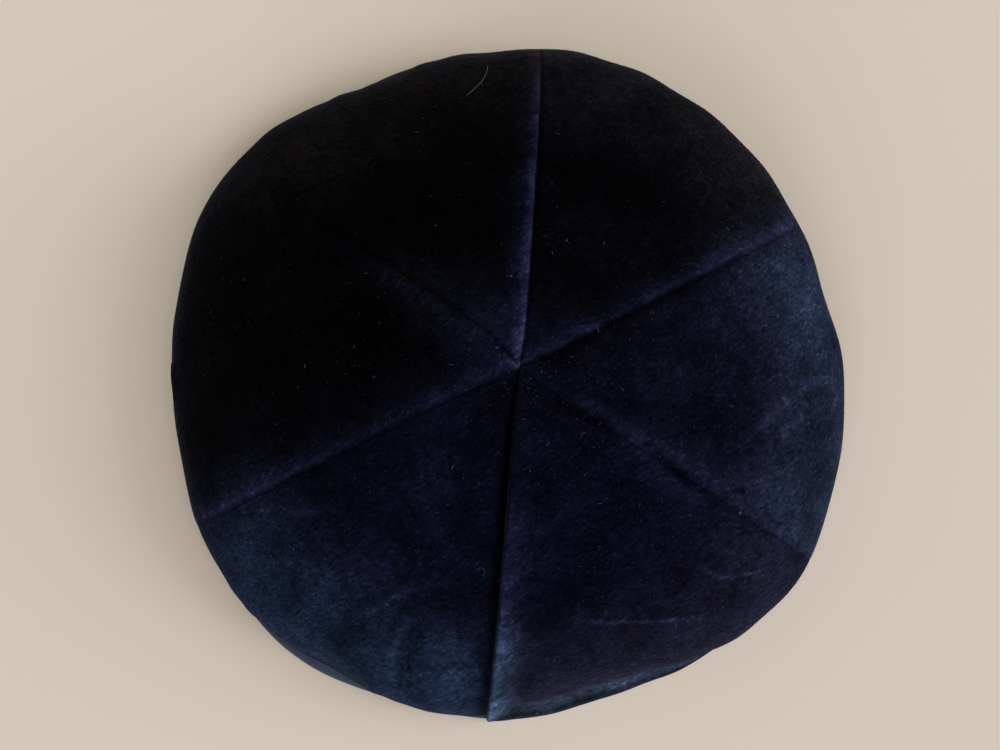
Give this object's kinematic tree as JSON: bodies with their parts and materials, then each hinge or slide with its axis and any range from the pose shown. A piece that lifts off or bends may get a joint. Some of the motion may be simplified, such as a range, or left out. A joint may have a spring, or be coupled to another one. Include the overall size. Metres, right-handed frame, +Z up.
{
  "type": "kippah skullcap",
  "caption": "Velvet skullcap sewn from gores that meet at the crown, with a narrow binding round its open rim, lying dome up.",
  "frame": {"origin": "on the surface that the cap lies on, under the middle of its outline", "axes": "+Z up through the crown, +X and +Y along the right and the top of the reference view from above"},
  "size_m": [0.1778, 0.1796, 0.0458],
  "materials": {
    "velvet": "short cotton velvet pile, black with a navy sheen",
    "binding": "smooth dull navy binding tape"
  },
  "bodies": {
    "root": {"panel_1": "velvet", "panel_2": "velvet", "panel_3": "velvet", "panel_4": "velvet", "panel_5": "velvet", "panel_6": "velvet", "edge_binding": "binding"}
  },
  "joints": []
}
